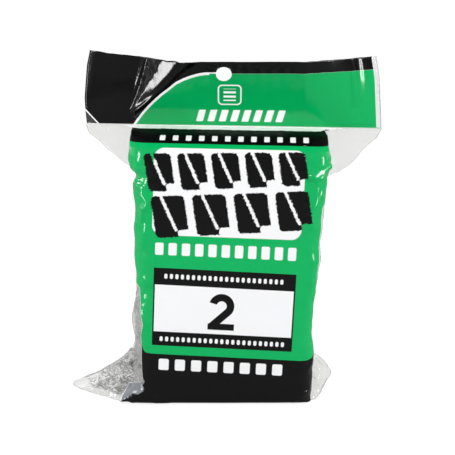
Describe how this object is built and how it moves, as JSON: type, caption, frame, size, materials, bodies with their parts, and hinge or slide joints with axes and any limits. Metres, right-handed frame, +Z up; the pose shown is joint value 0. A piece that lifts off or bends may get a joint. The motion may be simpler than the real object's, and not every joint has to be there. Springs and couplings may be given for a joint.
{
  "type": "pack of steel wool pads",
  "caption": "Sealed film bag with a hang-hole header, printed front and clear sides, holding a stack of folded steel wool pads, standing on its foot.",
  "frame": {"origin": "under the middle of the stack of pads, on the surface that the pack stands on", "axes": "+Z up, through the header; the printed front faces -Y; +X to the right as seen from the front"},
  "size_m": [0.1693, 0.059, 0.1834],
  "materials": {
    "printed_film": "glossy printed polyethylene film, clear where it isn't printed",
    "steel_wool": "fine grey steel fibres"
  },
  "bodies": {
    "root": {"film_bag": "printed_film", "wool_pad_1": "steel_wool", "wool_pad_2": "steel_wool", "wool_pad_3": "steel_wool", "wool_pad_4": "steel_wool", "wool_pad_5": "steel_wool", "wool_pad_6": "steel_wool", "wool_pad_7": "steel_wool", "wool_pad_8": "steel_wool"}
  },
  "joints": []
}
